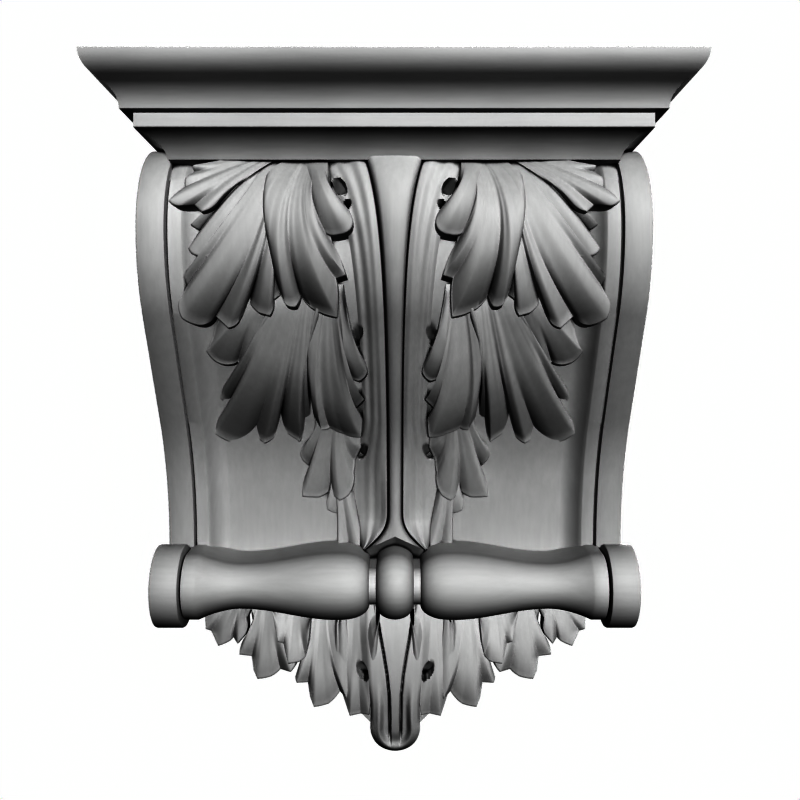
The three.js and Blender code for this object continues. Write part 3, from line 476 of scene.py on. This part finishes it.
SPRAY = [
    dict(
        root=[(-70, 117), (-56, 115)], via=[(-86, 112), (-72, 101)],
        lift=(14, 17, 17), curl=1, flute=2.8, dome=1, turn=0.6, undercut=0.5,
        rim=[(-80, 115, 0, 0, -0.3), (-95.6, 111, 0.7, 0.04, 0.5), (-94, 107.5, -0.6, 0),
             (-97.6, 104, 0.5, 0.05), (-97.5, 99, -0.4, 0.05, -0.8), (-104.5, 92, 1, 0.1, 1),
             (-100, 89.4, 0.6, 0), (-92.5, 90, -0.7, 0, -0.3), (-89, 86.6, 0.8, 0.1, 0.7),
             (-81, 92, 0.3, 0), (-73.5, 100, -0.6, 0, -0.8)],
    ),
    dict(
        root=[(-62, 116), (-54, 112)], via=[(-78, 103), (-66, 92)],
        lift=(12, 13, 12), curl=2, flute=3.0, dome=2, turn=0.6, undercut=0.5,
        rim=[(-77, 97, -0.4, 0, -0.8), (-94, 80.8, 0.6, 0.06, 0.6), (-89.5, 78.3, -0.8, 0, -0.5),
             (-95.2, 70, 0.6, 0.14), (-92.5, 67, 0.9, 0.06, 1), (-85, 66, 0.4, 0.12),
             (-79.5, 74, -0.2, 0.03), (-72, 92, -0.6, 0.05, -0.8), (-66, 103, -0.4)],
    ),
    dict(
        root=[(-59, 118), (-49, 118)], via=[(-66, 104), (-69, 92), (-58, 74), (-54, 76), (-52, 90)],
        lift=(12, 14, 13), curl=4, flute=4.4, dome=2, turn=0.6,
        undercut=(0.5, 0.3, -0.4, -0.4, 0.5),
        rim=[(-73, 92, -0.7, 0, -1), (-87, 71, -0.3, 0.02), (-95.8, 60.5, 0.6, 0.1),
             (-98, 57.5, 0.4, 0.05, -0.1), (-96.5, 53.6, -0.3, 0), (-101.4, 46, 0.4, 0.1),
             (-100.9, 38.6, 0.8, 0.08, 0.3), (-92, 35.4, 0.1, 0.1), (-84.9, 39.5, -0.9, 0, -0.1),
             (-79.5, 34.2, 0.7, 0.12, 0.9), (-73.5, 38, 0.3, 0.02), (-68.4, 46.4, -0.9, 0.08, 0.2),
             (-64, 41, 0.6, 0), (-59.2, 39.7, 0.9, 0.1, 0.4), (-56.5, 47, 0.1, 0),
             (-53.5, 49, -0.3), (-56.5, 62, -0.3, 0, -0.4), (-59, 80, -0.5, 0, -0.7)],
    ),
    dict(
        root=[(-48, 118), (-32, 118)], via=[(-66, 104), (-68, 94), (-55, 86), (-50, 86), (-44, 98)],
        lift=(11, 18, 14), curl=4, flute=4.2, dome=2, turn=0.65,
        undercut=(-2.2, -1.6, -0.8, -0.3, 0.5),
        rim=[(-57, 100, -0.9, 0, -0.9), (-58, 86.8, -0.5, 0.03), (-55.8, 68, 0, 0),
             (-54.6, 54, 0.4, 0.04, 0.5), (-51, 44.6, 0.9, 0.12, 1), (-46.5, 43.8, 0.5, 0.05),
             (-43.6, 48.7, -1, 0.06, -1), (-38.6, 42.8, -0.5, 0.05), (-27.2, 39, 0.5, 0.02, 0.1),
             (-26.4, 52, 0.5, 0.02), (-27, 56.4, 0.4, 0), (-22.5, 57.8, 0.9, 0.04, 0.9),
             (-28.6, 72.6, 0.8, 0.06, 0.9), (-33, 84, 0.3, 0, 0.3)],
    ),
    dict(
        root=[(-44, 118), (-32, 117)], via=[(-43, 98), (-31, 104)],
        lift=(11, 19, 18), curl=3, flute=2.0, dome=5, turn=0.55, undercut=(-1, -0.4, 0.5, 0.5, 0.5),
        raised=(-5, -5, -2, 0, 0, 0, 0),
        rim=[(-41, 96, -0.9, 0, -0.9), (-38.5, 84, -0.4, 0), (-33, 77.6, 0.1, 0.12),
             (-25.6, 76.2, 0.4, 0.1, 0.4), (-20, 78.8, 0.7, 0.12), (-19.3, 84, 0.6, 0.06),
             (-23.4, 91, 0, 0), (-29.5, 97.5, -0.5, -0.05, -0.4), (-30, 104.5, -0.2)],
    ),
    dict(
        root=[(-68, 54), (-52, 52)], via=[(-80, 40), (-64, 34)],
        lift=(5, 8, 7), curl=4, flute=2.6, dome=3, turn=0.5,
        rim=[(-79, 46, 0, 0, -0.4), (-86, 34, -0.1, -0.04), (-91.3, 23.5, 1, 0.05, 0.6),
             (-88, 19, 0.6, 0.1), (-80, 17.2, 0.3, 0.05), (-76.7, 18.4, -0.6, 0, 0),
             (-74.5, 13.1, 0.4), (-65, 19.5, 0.2), (-59, 27, -0.8, 0, -0.8)],
    ),
    dict(
        root=[(-54, 58), (-34, 54)], via=[(-60, 40), (-68, 28), (-58, 14), (-47, 10), (-40, 32)],
        lift=(4, 12, 11), curl=14, flute=4.0, dome=3, turn=0.45,
        rim=[(-60, 27, -0.7, 0, -0.7), (-67, 16.5, 0, -0.03), (-78.2, 11, 0.3),
             (-84.8, 7, 0.5, 0.08), (-87.2, 0.8, 0.6, 0.1, 0.2), (-83.4, -2.2, -0.3, 0),
             (-90, -10, 0.4, 0.08), (-92.4, -17.3, 0.8, 0.05, 0.6), (-84, -22, 0.2, 0.1),
             (-73, -17.9, -0.8, 0, 0), (-67.3, -22.4, 0.8, 0.06, 0.5), (-62, -19, 0.3, 0.03),
             (-58.9, -10.5, -1, 0.06, -0.8), (-55.5, -17, 0.3, 0), (-49.2, -21.5, 0.9, 0.05, 0.7),
             (-45.6, -11.5, -0.1, 0.03), (-42.5, -10.7, -0.3), (-41.5, 3, -0.5, 0, -0.3),
             (-42.5, 20, -0.7, 0, -0.8)],
    ),
    dict(
        root=[(-35, 54), (-24, 54)],
        via=[(-36, 44), (-41, 34), (-46, 20), (-43, 8), (-31, 2), (-26, 12), (-24, 22), (-23, 32),
             (-23, 44)],
        lift=(6, 13, 13), curl=3.5, flute=3.4, dome=2, turn=0.65,
        raised=(0, 0, 0, 1, 2, 3, 2, 2, 2),
        rim=[(-36, 36, -0.8, 0, -0.8), (-43.5, 12, -0.5, 0), (-42, 3, -0.5), (-40.8, -9, 0.1),
             (-37.5, -15.4, 0.5, 0.1, 0.3), (-33.1, -14.2, -0.6, 0.05, -0.7),
             (-26.5, -17.3, 0, 0.08), (-17.4, -19.2, 0.9, 0.02, 1), (-16.6, -10, 0.5, 0.04),
             (-19.6, -4, 0, 0), (-15.3, 0, 0.7, 0.05), (-21, 6, 0, 0), (-24.3, 11.5, -0.4, 0, 0.2),
             (-17.9, 9.1, 0.3, 0.12), (-13.5, 13.5, 0.5, 0.1), (-19, 25.2, 0, 0.05),
             (-21, 35, -0.5, 0, -0.5)],
    ),
    dict(
        root=[(-38, -2), (-20, -2)], via=[(-44, -18), (-26, -22)],
        lift=(7, 7, 6), curl=3, flute=3.0, dome=2, turn=0.6,
        rim=[(-37, -10, -0.3, 0, -0.3), (-44, -19.5, 0.2, 0.08), (-49, -27, 0.7, 0.12, 0.4),
             (-47.5, -32, 0.3, 0.04), (-44.7, -34.4, -0.6, 0, -0.2), (-47.5, -41, 0.2, 0.05),
             (-48.7, -51, 0.8, 0.02, 0.3), (-40, -51.3, 0.2, 0.04), (-33.9, -47.7, -0.9, 0, -0.7),
             (-31.8, -51, 0.3), (-29.2, -53.1, 0.7, 0.04, 0.7), (-24.5, -50.3, 0.5, 0.1),
             (-21.6, -38, 0, 0.03), (-20.8, -31.5, -0.6, 0, -0.4), (-17.5, -24.5, 0.2),
             (-18, -8, 0)],
    ),
    dict(
        root=[(-32, -22), (-26, -22)], via=[(-34, -50), (-24, -52)],
        lift=(1, 4.2, 3), curl=0, flute=2.0, dome=1, turn=0.8,
        rim=[(-34.5, -46, 0, 0, 0), (-36.3, -53.5, 0.6, 0.04), (-35.6, -58, 0.6, 0.08),
             (-30.4, -59.8, -0.2, 0), (-30.6, -70, 0.1, 0.02), (-30.2, -77.6, 0.8, 0.02, 0.5),
             (-28, -79, 0.7, 0.04), (-24, -78.2, -0.7, 0, -0.6), (-20, -80, 0.6, 0.03),
             (-18.2, -79.5, 0.7, 0, 0.7), (-18.5, -68, 0.2), (-22, -48, -0.5, 0, -0.5)],
    ),
]

PENDANT = [
    dict(
        root=[(-88, -103), (-74, -103)], via=[(-98, -113), (-82, -114)],
        lift=(-9, -2, 0), curl=1, flute=2.2, dome=1, stand=-2,
        rim=[(-104, -106, 0), (-107.3, -118, 0.2), (-106.9, -129, 1), (-103.6, -129.8, -0.5, 0, 0),
             (-99.5, -138.2, 1, 0.03), (-92.5, -134.7, 0.2), (-90.3, -132.4, -0.9),
             (-87.9, -136, 0.9), (-82.9, -130, 0, 0.1), (-82.2, -121, -0.6), (-77, -110, 0)],
    ),
    dict(
        root=[(-78, -103), (-62, -103)], via=[(-81, -120), (-62, -124)],
        lift=(-10, -3, 0), curl=2, flute=3.0, dome=1, stand=-6,
        pits=[(-80.5, -121, 1.8, 4, 0.2, 9)],
        rim=[(-80, -112, -0.5), (-80.8, -127.5, -0.4), (-85.5, -135, 0.3, 0.05), (-87.7, -143.2, 1),
             (-80.5, -143.6, -0.5, 0, 0.3), (-79.5, -152, 0.4), (-77.5, -156.8, 1, 0.03),
             (-70, -155, 0.2, 0.05), (-64, -150, -0.9), (-58.2, -151.4, 0.9, 0.05),
             (-54.8, -145.7, 0.1), (-54, -130, 0), (-56, -112, 0)],
    ),
    dict(
        root=[(-62, -103), (-44, -103)], via=[(-65, -122), (-46, -124)],
        lift=(-8, 1, 5), curl=1, flute=2.8, dome=1, stand=4,
        rim=[(-68, -111, -0.3), (-65.3, -124, 0), (-64.1, -131.5, 0.9),
             (-60.7, -132.4, -0.5, 0, 0.3), (-58.3, -143.8, 1, 0.02), (-52, -142.3, 0.2, 0.05),
             (-48.5, -139, -0.8), (-46.8, -131, 0.3), (-45, -113, 0)],
    ),
    dict(
        root=[(-46, -103), (-30, -103)], via=[(-50, -130), (-33, -132)],
        lift=(-10, -2, 2), curl=3, flute=3.4, dome=1, stand=-1,
        rim=[(-49, -116, -0.5), (-51, -140, 0), (-55, -152.5, 0.5, 0.05), (-54.3, -156, 1),
             (-48, -155.4, -0.4, 0, 0.3), (-47, -164, 0.4), (-45, -170, 1, 0.03),
             (-37, -167.8, 0, 0.05), (-30.3, -159.8, -0.8), (-26.5, -164.5, 0.8), (-24, -148, 0),
             (-27, -113, 0)],
    ),
    dict(
        root=[(-31, -103), (-10, -103)], via=[(-31, -132), (-11, -134)],
        thick=18, lift=(-5, -1, 2), curl=3, flute=2.8, dome=1, stand=1, pitch=0.8, rows=50,
        raised=(0, 0, 0, 0, 1, 3, 5, 6),
        pits=[(-17.8, -146.5, 2.5, 5.2, -0.45, 13)],
        rim=[(-32, -113, -0.6), (-34, -140, -0.4), (-29, -160, -0.6), (-25, -174, 1),
             (-19, -172.5, -0.3), (-14.3, -173.2, 0.6), (-11, -150, 0.2), (-8, -113, 0)],
    ),
]


def spray_and_pendant():
    """The spray as an object, and the pendant's leaves as solids for its own object."""
    solids = []
    for spec in SPRAY:
        one = leaf(spec, panel_out)
        solids += [one, mirrored(one)]
    spray = joined("acanthus_spray", solids, 50)
    solids = []
    for spec in PENDANT:
        one = leaf(spec, pendant_out, PENDANT_THICK)
        solids += [one, mirrored(one)]
    return spray, solids


def stem_half(z):
    """Half the stem's width, which spreads at both ends."""
    flare = 12.2 * np.clip((-60 - z) / 19.6, 0, 1) ** 2.4
    return 3.2 + 9.5 * np.exp((z - 113) / 32) + flare


def sheaf_half(z):
    """Half the width of the stem and its flutes together."""
    return 16 + 19 * np.exp((z - 113) / 30) + 6 * smooth((-8 - z) / 30) - 3.6 * smooth((-66 - z) / 13.6)


def both_sides(xs, high, z):
    """A row from the left edge to the right, out of its right half."""
    half = list(zip(xs, panel_out(xs, z) + high, z))
    return [(-x, o, zz) for x, o, zz in half[::-1][:-1]] + half


def sheaf():
    """Across: the stem's round, a deep groove, then soft flutes that spread at both ends."""
    own = np.linspace(0, 1, 14)
    rest = np.linspace(0, 1, 52)[1:]
    rows = []
    top = 129.3 - float(rail_out(STEM_TOP) - PANEL_SINK)
    for z in np.linspace(STEM_TOP, STEM_FOOT, 250):
        high = STEM_HIGH + (top - STEM_HIGH) * math.exp((z - STEM_TOP) / 28)
        sag = 3.4 * float(smooth((-8 - z) / 52)) - 4.5 * float(smooth((-64 - z) / 15.6))
        sh, full = float(stem_half(z)), float(sheaf_half(z))
        foot = float(smooth((-58 - z) / 21.6))
        wave = 0.04 * math.sin((z + 20) / 38)
        xs = np.concatenate([own * sh, sh + rest * (full - sh)])
        flutes = sum(size * bell(rest, at + sway * wave, wide) for at, sway, size, wide in FLUTES)
        side = (high - 5.2) * (1 - 0.4 * rest**1.3) + flutes * (1 + 0.5 * foot) + 3.0 * foot * rest
        side = side - 2.0 * np.exp(-((rest / 0.04) ** 2)) - sag * smooth(rest / 0.25)
        faded = (0.9 - 0.4 * foot) * np.clip((rest - 0.35) / 0.65, 0, 1)
        side = side * (1 - faded * smooth((-8 - z) / 30))
        stem = high - 1.8 * own**2.2 - 1.6 * np.clip((own - 0.8) / 0.2, 0, 1) ** 2 + 1.0 * foot
        hs = np.concatenate([stem, side])
        zrow = np.full(len(xs), z)
        if z < -70:
            zrow = np.maximum(z, STEM_FOOT + np.clip(1 - np.abs(xs) / 15.4, 0, 1) * 7.3)
        hs = hs - scoop(xs, z, EYES)
        rows.append(both_sides(xs, hs, zrow))
    for k in (0.12, 0.4, 0.7, 1.0):
        rows.append(both_sides(xs, hs * (1 - k) - k, zrow - 12 * k))
    return slab(rows, lambda x, o, z: (x, float(panel_out(x, z)) - SUNK, z))


def slab(rows, behind):
    """A closed mesh from rows of front points, with side walls down to a plain back."""
    return rings_solid([[behind(*row[0])] + list(row) + [behind(*row[-1])] for row in rows])


def core():
    """The plain block behind the pendant's leaves, sunk more under the pit beside the tongue."""
    bottom = PENDANT_FOOT + 12
    rings = []
    for z in np.linspace(bottom, BODY_BOTTOM + 1, 30):
        down = min(1, max(0, (BODY_BOTTOM - z) / (BODY_BOTTOM - bottom)))
        half = 4 + (STRIP_X - 10) * (1 - down**0.8)
        sunk = 10 - 4.5 * down
        front = []
        for x in np.linspace(-half, half, 61):
            pit = 10 * bell(abs(x), 18, 6) * bell(z, -146, 14)
            front.append((x, float(pendant_out(x, z)) - sunk - pit, z))
        back = 0.0 if z < BODY_BOTTOM else 2.0
        rings.append([(half, back, z), (-half, back, z)] + front)
    return rings_solid(rings)


def tongue():
    """The middle of the pendant: a narrow stem between two channels, and a rounded end whose
    raised rim closes them off."""
    rows = []
    low, round_top, round_half = -198.0, -179.5, 13.6
    wide_z, wide_at = [-179.5, -173.6, -165, -150, -104], [13.6, 13.4, 13.3, 14.2, 17]
    stem_z, stem_at = [-186, -160, -148, -136, -120, -111, -104], [2.3, 2.6, 3.7, 5.6, 8.6, 10.2, 11]
    for z in np.linspace(-104, low + 0.02, 150):
        down = np.clip((round_top - z) / (round_top - low), 0, 1)
        wide = max(np.interp(z, wide_z, wide_at) * math.sqrt(1 - down**2), 0.3)
        x = np.linspace(-1, 1, 81) * wide
        edge = wide - np.abs(x)
        if z < round_top:
            edge = round_half * (1 - np.sqrt((x / round_half) ** 2 + down**2))
        stem = np.interp(z, stem_z, stem_at)
        fade = 1 - smooth((-181 - z) / 8)
        middle = 1 - smooth((np.abs(x) - stem + 0.4) / 0.8)
        groove = 0.75 * bell(np.abs(x), stem + 0.75, 0.5) * fade
        rim = bell(edge, 4.6, 2.2) * smooth((-146 - z) / 34)
        turned = np.clip(1 - edge / (2.0 + 3.0 * down), 0, 1) ** 2
        turned = turned * (0.3 + 0.7 * smooth((-150 - z) / 20)) * (2.2 + 4 * down)
        high = 6.5 - 10 * np.clip(1 - (-104 - z) / 62, 0, 1) ** 2
        high = high + 1.2 * middle * fade - 2.6 * groove + 2.2 * rim - turned
        high = high - 2.2 * smooth((-150 - z) / 26) * smooth((edge - 4.6) / 3) * (1 - middle)
        rows.append(list(zip(x, pendant_out(x, z) + high, np.full(len(x), z))))
    return slab(rows, lambda x, o, z: (x, o - 7, z))


# Material
# Painted shade: the heights, in metres, over which the front is darkened by height.
SHADE_LOW, SHADE_SPAN = -0.12, 0.28


def ramp(tree, source, stops):
    """A colour ramp on a socket; a stop is a position and a grey value or a colour."""
    made = tree.nodes.new("ShaderNodeValToRGB")
    for element, (place, shade) in zip([*made.color_ramp.elements] + [None] * len(stops), stops):
        element = element or made.color_ramp.elements.new(place)
        element.position = place
        element.color = (*np.broadcast_to(shade, 3), 1)
    tree.links.new(source, made.inputs["Fac"])
    return made.outputs["Color"]


def product(tree, first, second):
    """A node that multiplies two colours."""
    made = tree.nodes.new("ShaderNodeMix")
    made.data_type = "RGBA"
    made.blend_type = "MULTIPLY"
    made.inputs["Factor"].default_value = 1.0
    tree.links.new(first, made.inputs["A"])
    tree.links.new(second, made.inputs["B"])
    return made


def painted_wood(name, colour, grain_axis, shade_by_height):
    """Matt grey paint over wood: faint grain, random tonal drift and painted shade in the crevices. The
    last argument gives heights in metres and the painted shade on the front there, as a brightness factor."""
    mat = bpy.data.materials.new(name)
    mat.use_nodes = True
    nt = mat.node_tree
    nodes, links = nt.nodes, nt.links
    nodes.clear()
    out = nodes.new("ShaderNodeOutputMaterial")
    bsdf = nodes.new("ShaderNodeBsdfPrincipled")
    links.new(bsdf.outputs["BSDF"], out.inputs["Surface"])
    coords = nodes.new("ShaderNodeTexCoord")
    mapping = nodes.new("ShaderNodeMapping")
    scale = [60.0, 60.0, 60.0]
    scale[grain_axis] = 6.0
    mapping.inputs["Scale"].default_value = scale
    links.new(coords.outputs["Object"], mapping.inputs["Vector"])
    grain = nodes.new("ShaderNodeTexNoise")
    grain.inputs["Scale"].default_value = 6.0
    grain.inputs["Detail"].default_value = 6.0
    grain.inputs["Roughness"].default_value = 0.6
    links.new(mapping.outputs["Vector"], grain.inputs["Vector"])
    drift = nodes.new("ShaderNodeTexNoise")
    drift.inputs["Scale"].default_value = 14.0
    drift.inputs["Detail"].default_value = 3.0
    links.new(coords.outputs["Object"], drift.inputs["Vector"])
    dark = [c * 0.96 for c in colour]
    light = [min(1, c * 1.03) for c in colour]
    paint = ramp(nt, drift.outputs["Fac"], [(0.3, dark), (0.75, light)])
    fine = ramp(nt, grain.outputs["Fac"], [(0.35, 0.97), (0.65, 1.0)])
    # Painted shade: ambient occlusion darkens the crevices, almost to black in the deepest, and the grain is
    # multiplied in.
    crevice = nodes.new("ShaderNodeAmbientOcclusion")
    crevice.samples = 8
    crevice.inputs["Distance"].default_value = 0.0035
    crevice_shade = ramp(nt, crevice.outputs["AO"], [(0.08, 0.04), (0.42, 1.0)])
    grain_and_crevice_shade = product(nt, fine, crevice_shade)
    parts = nodes.new("ShaderNodeSeparateXYZ")
    links.new(coords.outputs["Object"], parts.inputs["Vector"])
    height = nodes.new("ShaderNodeMapRange")
    height.inputs["From Min"].default_value = SHADE_LOW
    height.inputs["From Max"].default_value = SHADE_LOW + SHADE_SPAN
    links.new(parts.outputs["Z"], height.inputs["Value"])
    # Painted shade by height, multiplied into the grain and the crevice shade.
    places = [((z - SHADE_LOW) / SHADE_SPAN, value) for z, value in shade_by_height]
    grain_and_painted_shade = product(nt, grain_and_crevice_shade.outputs["Result"], ramp(nt, height.outputs["Result"], places))
    # The painted shade by height falls only on the front, from 48 to 60 mm out from the wall onwards.
    front = nodes.new("ShaderNodeMapRange")
    front.inputs["From Min"].default_value = -0.048
    front.inputs["From Max"].default_value = -0.06
    links.new(parts.outputs["Y"], front.inputs["Value"])
    links.new(front.outputs["Result"], grain_and_painted_shade.inputs["Factor"])
    mix = product(nt, paint, grain_and_painted_shade.outputs["Result"])
    links.new(mix.outputs["Result"], bsdf.inputs["Base Color"])
    rough = nodes.new("ShaderNodeMapRange")
    rough.inputs["To Min"].default_value = 0.62
    rough.inputs["To Max"].default_value = 0.74
    links.new(grain.outputs["Fac"], rough.inputs["Value"])
    links.new(rough.outputs["Result"], bsdf.inputs["Roughness"])
    bump = nodes.new("ShaderNodeBump")
    bump.inputs["Strength"].default_value = 0.12
    bump.inputs["Distance"].default_value = 0.0003
    links.new(grain.outputs["Fac"], bump.inputs["Height"])
    links.new(bump.outputs["Normal"], bsdf.inputs["Normal"])
    bsdf.inputs["Specular IOR Level"].default_value = 0.25
    return mat


GREY = (0.42, 0.42, 0.42)
# Painted shade by height: the crown is darker at its cove and lower cyma, and the console darker towards its
# foot above the roller and a little at its top. The roller gets none.
CROWN_SHADE_BY_HEIGHT = [(0.113, 0.84), (0.16, 1.0), (0.1245, 0.88), (0.1255, 0.98)]
CROWN_SHADE_BY_HEIGHT += [(0.1318, 0.98), (0.1325, 0.88), (0.142, 0.94)]
BODY_SHADE_BY_HEIGHT = [(-0.104, 1.0), (0.1, 0.955), (-0.097, 0.87), (-0.075, 0.88), (-0.04, 1.0), (0.05, 1.0)]
mat_crown = painted_wood("painted_wood_crown", GREY, 0, CROWN_SHADE_BY_HEIGHT)
mat_body = painted_wood("painted_wood_body", GREY, 2, BODY_SHADE_BY_HEIGHT)
mat_roller = painted_wood("painted_wood_roller", GREY, 0, [(-0.12, 1.0), (0.0, 1.0)])

crown_obj = joined("crown_moulding_fine", [crown()], 30)
roller_obj = joined("roller_fine", roller(), 40)
spray_obj, pendant_solids = spray_and_pendant()
rails = rail()
body_obj = joined("console_fine", [rails, mirrored(rails), block(), sheaf(), core()], 40)
pendant_obj = joined("acanthus_pendant", pendant_solids + [tongue()], 50)

for piece, node, mat in (
    (crown_obj, "crown_moulding", mat_crown),
    (roller_obj, "roller", mat_roller),
    (body_obj, "carved_body", mat_body),
    (spray_obj, "carved_body", mat_body),
    (pendant_obj, "carved_body", mat_body),
):
    piece.data.materials.append(mat)
    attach(piece, "root")
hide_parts("crown_moulding")
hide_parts("roller")
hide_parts("carved_body")


# Stage, light, camera
def plain(name, colour, glow=0.0):
    """A matt surface, or an even glow that takes no light."""
    mat = bpy.data.materials.new(name)
    mat.use_nodes = True
    bsdf = mat.node_tree.nodes["Principled BSDF"]
    bsdf.inputs["Base Color"].default_value = (*colour, 1)
    bsdf.inputs["Roughness"].default_value = 0.9
    if glow:
        bsdf.inputs["Base Color"].default_value = (0, 0, 0, 1)
        bsdf.inputs["Specular IOR Level"].default_value = 0.0
        bsdf.inputs["Emission Color"].default_value = (*colour, 1)
        bsdf.inputs["Emission Strength"].default_value = glow
    return mat


bpy.ops.mesh.primitive_cylinder_add(vertices=96, radius=1.6, depth=0.02, location=(0, 0, -1.31))
floor = bpy.context.object
floor.name = "floor"
floor.data.materials.append(plain("floor_pale", (0.8, 0.8, 0.8)))
bpy.ops.mesh.primitive_uv_sphere_add(segments=48, ring_count=24, radius=6.0)
dome = bpy.context.object
dome.name = "backdrop"
dome.data.materials.append(plain("backdrop_white", (1, 1, 1), 1.0))
for far in (floor, dome):
    far.visible_diffuse = False
    far.visible_glossy = False
dome.visible_shadow = False

world = bpy.data.worlds.new("studio")
bpy.context.scene.world = world
world.use_nodes = True
world.node_tree.nodes["Background"].inputs["Color"].default_value = (1, 1, 1, 1)
world.node_tree.nodes["Background"].inputs["Strength"].default_value = 0.02


def area(name, place, aim, size, power):
    """A round soft light, turned towards aim."""
    light = bpy.data.lights.new(name, "AREA")
    light.shape = "DISK"
    light.size = size
    light.energy = power
    obj = bpy.data.objects.new(name, light)
    obj.location = place
    obj.rotation_mode = "QUATERNION"
    obj.rotation_quaternion = (Vector(aim) - Vector(place)).to_track_quat("-Z", "Y")
    bpy.context.scene.collection.objects.link(obj)
    return obj


# The photo has no cast shadows, so the key light casts none.
key = area("key", (0.80, -3.65, 1.22), (0, -0.07, -0.02), 0.6, 296)
key.data.use_shadow = False
area("fill", (-0.9, -1.6, 0.1), (0, -0.07, -0.02), 0.9, 2)
area("side_left", (-1.6, 0.7, 0.2), (-0.12, 0, 0), 0.9, 35)
area("side_right", (1.6, 0.7, 0.2), (0.12, 0, 0), 0.9, 35)
area("behind", (0.2, 1.7, 0.5), (0, 0, 0), 0.9, 35)
area("above", (0, 0.25, 2.1), (0, -0.08, 0.15), 0.6, 40)

camera = bpy.data.cameras.new("camera")
camera.sensor_width = 36
camera.lens = 42.75
cam = bpy.data.objects.new("camera", camera)
cam.location = (0.00264, -VIEW * MM, 0)
cam.rotation_euler = (math.pi / 2, 0, 0)
bpy.context.scene.collection.objects.link(cam)
bpy.context.scene.camera = cam
bpy.context.scene.view_settings.view_transform = "Standard"
bpy.context.scene.view_settings.gamma = 0.24
